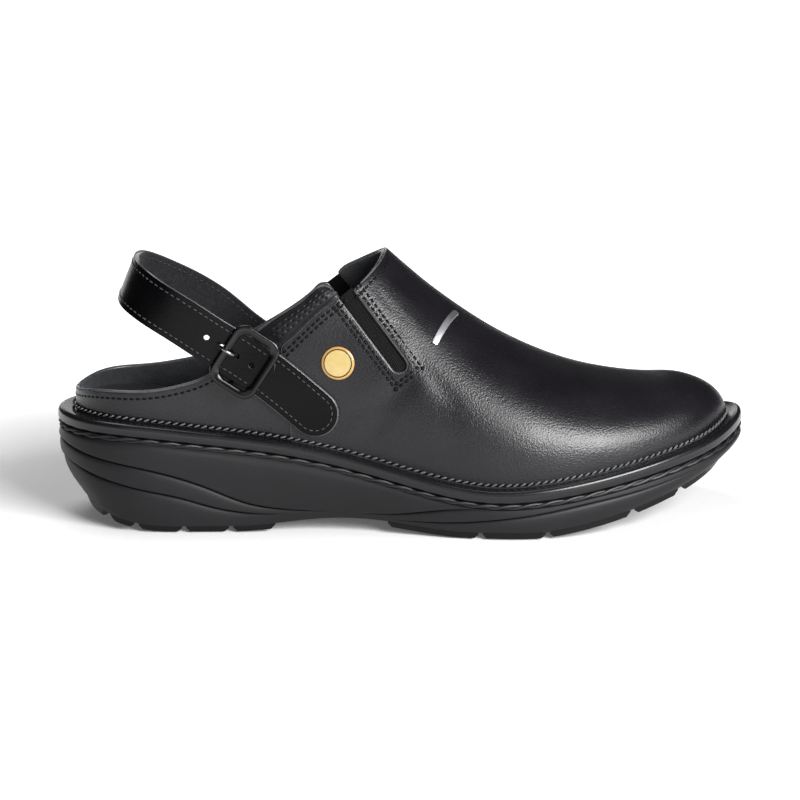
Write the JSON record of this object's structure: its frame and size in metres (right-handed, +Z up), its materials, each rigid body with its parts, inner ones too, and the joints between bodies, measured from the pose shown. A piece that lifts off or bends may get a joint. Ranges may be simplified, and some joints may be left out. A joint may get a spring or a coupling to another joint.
{
  "type": "chef clog",
  "caption": "Right-foot work clog: closed round toe, low open heel, elastic gores, padded collar panels, buckled heel strap and a thick moulded sole with arch, toe spring and treads.",
  "frame": {"origin": "on the floor under the middle of the sole's length and width", "axes": "+X from the heel to the toe, +Y to the inner (medial) side of the foot, +Z up"},
  "size_m": [0.292, 0.1062, 0.1127],
  "materials": {
    "sole": "moulded polyurethane, dark grey-black, satin",
    "tread": "glossy black moulded tread",
    "lining": "dark grey lining leather, matte",
    "leather": "smooth black leather, soft gloss",
    "soft_leather": "soft padded black leather",
    "elastic": "ribbed black elastic webbing",
    "buckle": "glossy black lacquered steel",
    "badge": "plain yellow enamel, bare",
    "silver": "satin silver, bare"
  },
  "bodies": {
    "root": {"sole": "sole", "tread_heel": "tread", "tread_forefoot": "tread", "insole": "lining", "upper": "leather", "collar_pad_lateral": "soft_leather", "collar_pad_medial": "soft_leather", "gore_lateral": "elastic", "gore_medial": "elastic", "strap_anchor": "leather", "heel_strap": "leather", "buckle_frame": "buckle", "buckle_prong": "buckle", "badge": "badge", "vamp_bar": "silver"}
  },
  "joints": []
}
